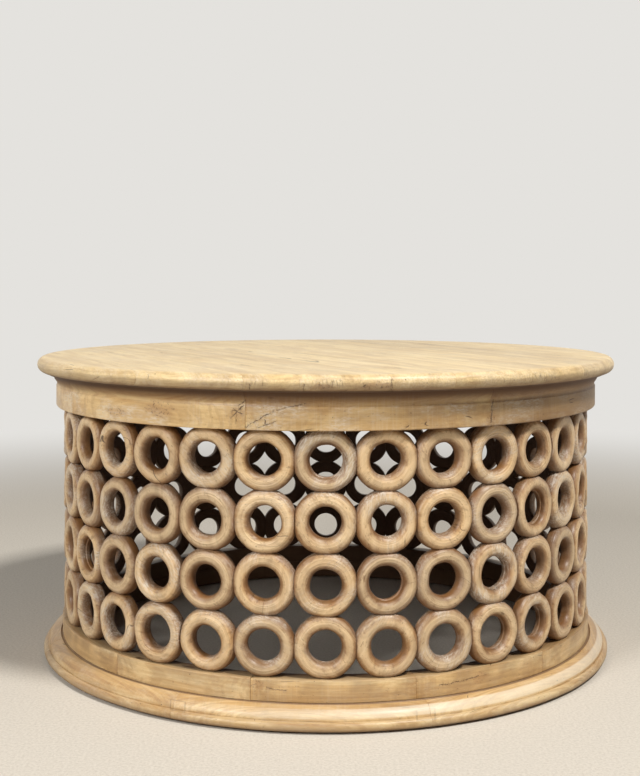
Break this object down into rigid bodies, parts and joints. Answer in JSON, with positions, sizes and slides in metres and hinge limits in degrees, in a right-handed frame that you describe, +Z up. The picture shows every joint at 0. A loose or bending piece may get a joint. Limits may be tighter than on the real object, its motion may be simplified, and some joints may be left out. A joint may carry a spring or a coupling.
{
  "type": "round drum coffee table",
  "caption": "Round wooden coffee table: planked round top and apron on a drum wall of turned rings, with a moulded foot.",
  "frame": {"origin": "on the ground under the centre of the table", "axes": "+Z up; the middle of the first column of rings faces -Y"},
  "size_m": [0.914, 0.914, 0.46],
  "materials": {
    "top_wood": "waxed pale mango wood, sanded",
    "apron_wood": "waxed pale mango wood, sanded",
    "ring_wood": "waxed pale mango wood, turned",
    "base_wood": "waxed pale mango wood, turned",
    "inner_wood": "bare wood, planed",
    "dowel_wood": "bare hardwood",
    "screw_steel": "zinc plated",
    "glide_pad": "matt black"
  },
  "bodies": {
    "root": {"top_board_1": "top_wood", "top_board_2": "top_wood", "top_board_3": "top_wood", "top_board_4": "top_wood", "top_board_5": "top_wood", "top_board_6": "top_wood", "top_board_7": "top_wood", "top_board_8": "top_wood", "top_board_9": "top_wood", "apron_segment_1": "apron_wood", "apron_segment_2": "apron_wood", "apron_segment_3": "apron_wood", "apron_segment_4": "apron_wood", "apron_segment_5": "apron_wood", "apron_segment_6": "apron_wood", "apron_segment_7": "apron_wood", "apron_segment_8": "apron_wood", "ring_column_01": "ring_wood", "ring_column_02": "ring_wood", "ring_column_03": "ring_wood", "ring_column_04": "ring_wood", "ring_column_05": "ring_wood", "ring_column_06": "ring_wood", "ring_column_07": "ring_wood", "ring_column_08": "ring_wood", "ring_column_09": "ring_wood", "ring_column_10": "ring_wood", "ring_column_11": "ring_wood", "ring_column_12": "ring_wood", "ring_column_13": "ring_wood", "ring_column_14": "ring_wood", "ring_column_15": "ring_wood", "ring_column_16": "ring_wood", "ring_column_17": "ring_wood", "ring_column_18": "ring_wood", "ring_column_19": "ring_wood", "ring_column_20": "ring_wood", "ring_column_21": "ring_wood", "ring_column_22": "ring_wood", "ring_column_23": "ring_wood", "ring_column_24": "ring_wood", "ring_column_25": "ring_wood", "ring_column_26": "ring_wood", "ring_column_27": "ring_wood", "ring_column_28": "ring_wood", "ring_column_29": "ring_wood", "ring_column_30": "ring_wood", "ring_column_31": "ring_wood", "ring_column_32": "ring_wood", "base_band": "base_wood", "foot_moulding": "base_wood", "batten_front": "inner_wood", "batten_back": "inner_wood", "splice_blocks": "inner_wood", "wall_dowels": "dowel_wood", "batten_screws": "screw_steel", "block_screws": "screw_steel", "foot_screws": "screw_steel", "glides": "glide_pad"}
  },
  "joints": []
}
